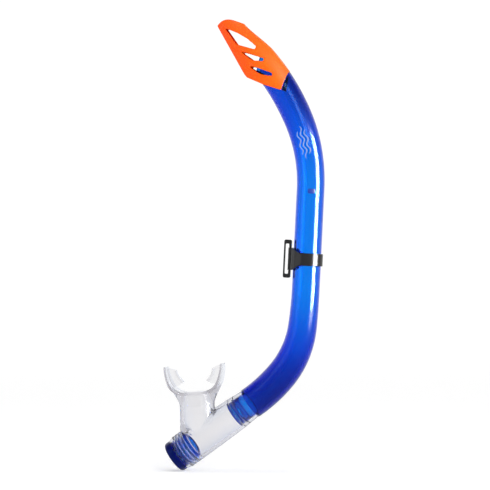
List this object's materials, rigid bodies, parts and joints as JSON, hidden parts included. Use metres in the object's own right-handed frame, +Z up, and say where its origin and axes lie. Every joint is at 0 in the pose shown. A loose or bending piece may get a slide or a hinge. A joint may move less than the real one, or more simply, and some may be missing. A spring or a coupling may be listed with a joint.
{
  "type": "snorkel tube",
  "caption": "Bent breathing tube with a slotted splash guard, a sliding strap keeper, and a swivelling clear mouthpiece with a purge valve.",
  "frame": {"origin": "centre of the mouth opening, on the plane of the lip shield's inner face", "axes": "+Z up along the tube as the snorkel is stood, +X from the mouthpiece towards the tube, +Y across; the tube, chamber and neck lie in the XZ plane"},
  "size_m": [0.1478, 0.0326, 0.4108],
  "materials": {
    "blue_translucent": "clear blue polycarbonate, polished",
    "orange_plastic": "satin moulded",
    "black_plastic": "gloss moulded",
    "clear_silicone": "clear liquid silicone rubber",
    "blue_insert": "clear blue plastic",
    "navy_plastic": "gloss moulded",
    "valve_silicone": "thin translucent silicone"
  },
  "bodies": {
    "mouthpiece_body": {"mouthpiece": "clear_silicone", "purge_housing": "blue_insert", "purge_cap": "navy_plastic"},
    "tube_body": {"tube": "blue_translucent", "splash_guard": "orange_plastic"},
    "keeper_body": {"keeper_band": "black_plastic"},
    "loop_body": {"strap_loop": "black_plastic"},
    "valve_body": {"purge_valve": "valve_silicone"}
  },
  "joints": [
    {"name": "mouthpiece_swivel", "type": "hinge", "parent": "mouthpiece_body", "child": "tube_body", "pos_m": [0.0505, 0, -0.01026], "axis": [0.8161, 0, 0.5779], "continuous": true},
    {"name": "keeper_slide", "type": "slide", "parent": "tube_body", "child": "keeper_body", "axis": [0.0489, 0, 0.9988], "range_m": [-0.013, 0.052]},
    {"name": "loop_swing", "type": "hinge", "parent": "keeper_body", "child": "loop_body", "pos_m": [0.08699, 0, 0.12132], "axis": [0.0489, 0, 0.9988], "range_deg": [-70, 70]},
    {"name": "purge_valve_lift", "type": "slide", "parent": "mouthpiece_body", "child": "valve_body", "axis": [-0.8161, 0, -0.5779], "range_m": [0, 0.0012], "stiffness_N_per_m": 20, "springref_m": -0.0005}
  ]
}
